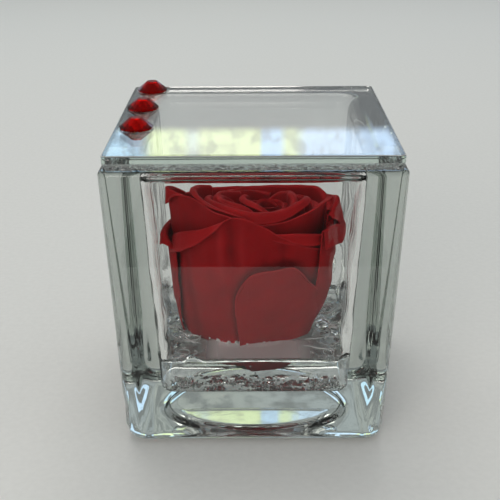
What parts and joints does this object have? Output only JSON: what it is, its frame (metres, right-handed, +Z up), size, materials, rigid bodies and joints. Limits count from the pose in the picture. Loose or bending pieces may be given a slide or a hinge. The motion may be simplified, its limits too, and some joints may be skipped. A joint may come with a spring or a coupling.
{
  "type": "preserved rose in glass cube",
  "caption": "Preserved red rose head set in clear gel inside a thick pressed glass cube, under a flat glass lid with small red cut stones.",
  "frame": {"origin": "middle of the cube's underside, on the surface it stands on", "axes": "+Z up; the front of the object faces -Y, and the row of stones is along the -X edge of the lid"},
  "size_m": [0.08, 0.08, 0.0908],
  "materials": {
    "clear_glass": "polished",
    "plate_glass": "polished",
    "red_stone": "polished",
    "clear_gel": "gloss",
    "dried_hip": "matte",
    "rose_petal": "matte"
  },
  "bodies": {
    "root": {"glass_cube": "clear_glass", "lid": "plate_glass", "gem_front": "red_stone", "gem_middle": "red_stone", "gem_back": "red_stone", "gel_bed": "clear_gel", "receptacle": "dried_hip", "petal_01": "rose_petal", "petal_02": "rose_petal", "petal_03": "rose_petal", "petal_04": "rose_petal", "petal_05": "rose_petal", "petal_06": "rose_petal", "petal_07": "rose_petal", "petal_08": "rose_petal", "petal_09": "rose_petal", "petal_10": "rose_petal", "petal_11": "rose_petal", "petal_12": "rose_petal", "petal_13": "rose_petal", "petal_14": "rose_petal", "petal_15": "rose_petal", "petal_16": "rose_petal", "petal_17": "rose_petal", "petal_18": "rose_petal", "petal_19": "rose_petal", "petal_20": "rose_petal", "petal_21": "rose_petal", "petal_22": "rose_petal", "petal_23": "rose_petal", "petal_24": "rose_petal", "petal_25": "rose_petal", "petal_26": "rose_petal", "petal_27": "rose_petal", "petal_28": "rose_petal", "petal_29": "rose_petal", "petal_30": "rose_petal", "petal_31": "rose_petal", "petal_32": "rose_petal", "petal_33": "rose_petal", "petal_34": "rose_petal"}
  },
  "joints": []
}
